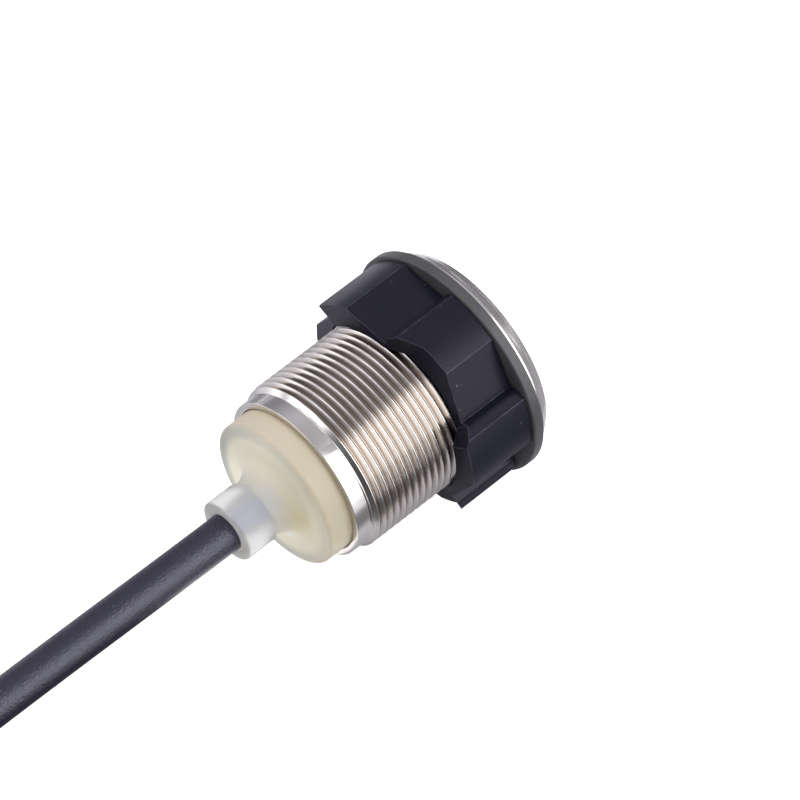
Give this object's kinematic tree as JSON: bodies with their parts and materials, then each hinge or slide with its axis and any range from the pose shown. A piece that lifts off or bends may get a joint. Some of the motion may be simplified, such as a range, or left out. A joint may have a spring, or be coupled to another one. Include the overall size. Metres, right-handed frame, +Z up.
{
  "type": "capacitive touch sensor",
  "caption": "Round panel-mount capacitive touch sensor: threaded stainless housing with bezel, gasket, moulded lock nut, translucent rear plug and cable.",
  "frame": {"origin": "on the surface that the sensor lies on, under the middle of its length from the sleeve's rear end to the touch face; the cable past the sleeve isn't counted", "axes": "+X along the sensor's axis towards the touch face, +Z up, +Y to the left when looking along +X"},
  "size_m": [0.1472, 0.0358, 0.0294],
  "materials": {
    "stainless_steel": "fine turned, lightly brushed",
    "gasket_rubber": "matte",
    "nut_plastic": "satin moulded",
    "plug_silicone": "milky translucent, satin",
    "lens_plastic": "satin opal",
    "seal_rubber": "matte",
    "guide_plastic": "frosted",
    "copper": "bare copper",
    "spring_metal": "plated wire",
    "board_laminate": "solder resist",
    "led_plastic": "clear cast",
    "carrier_plastic": "moulded",
    "chip_plastic": "moulded epoxy",
    "capacitor_body": "ceramic",
    "header_plastic": "moulded",
    "cast_resin": "cast",
    "core_brown": "extruded",
    "core_blue": "extruded",
    "core_black": "extruded",
    "core_white": "extruded",
    "cable_sheath": "matte with a fine grain",
    "tie_nylon": "moulded nylon"
  },
  "bodies": {
    "sensor": {"housing": "stainless_steel", "panel_gasket": "gasket_rubber", "rear_plug": "plug_silicone", "touch_lens": "lens_plastic", "lens_seal": "seal_rubber", "light_guide": "guide_plastic", "electrode_plate": "copper", "contact_spring": "spring_metal", "sensor_board": "board_laminate", "led_1": "led_plastic", "led_2": "led_plastic", "led_3": "led_plastic", "led_4": "led_plastic", "board_carrier": "carrier_plastic", "control_board": "board_laminate", "touch_controller": "chip_plastic", "voltage_regulator": "chip_plastic", "output_transistor": "chip_plastic", "protection_diode": "chip_plastic", "capacitor_1": "capacitor_body", "capacitor_2": "capacitor_body", "board_header": "header_plastic", "resin_seal": "cast_resin", "conductor_1": "core_brown", "conductor_2": "core_blue", "conductor_3": "core_black", "conductor_4": "core_white", "cable": "cable_sheath", "cable_hank": "cable_sheath", "tie_1": "tie_nylon", "tie_2": "tie_nylon", "lead_1": "core_brown", "lead_2": "core_blue", "lead_3": "core_black", "lead_4": "core_white"},
    "nut": {"panel_nut": "nut_plastic"}
  },
  "joints": [
    {"name": "nut_travel", "type": "slide", "parent": "sensor", "child": "nut", "axis": [-1, 0, 0], "range_m": [0, 0.02]}
  ]
}
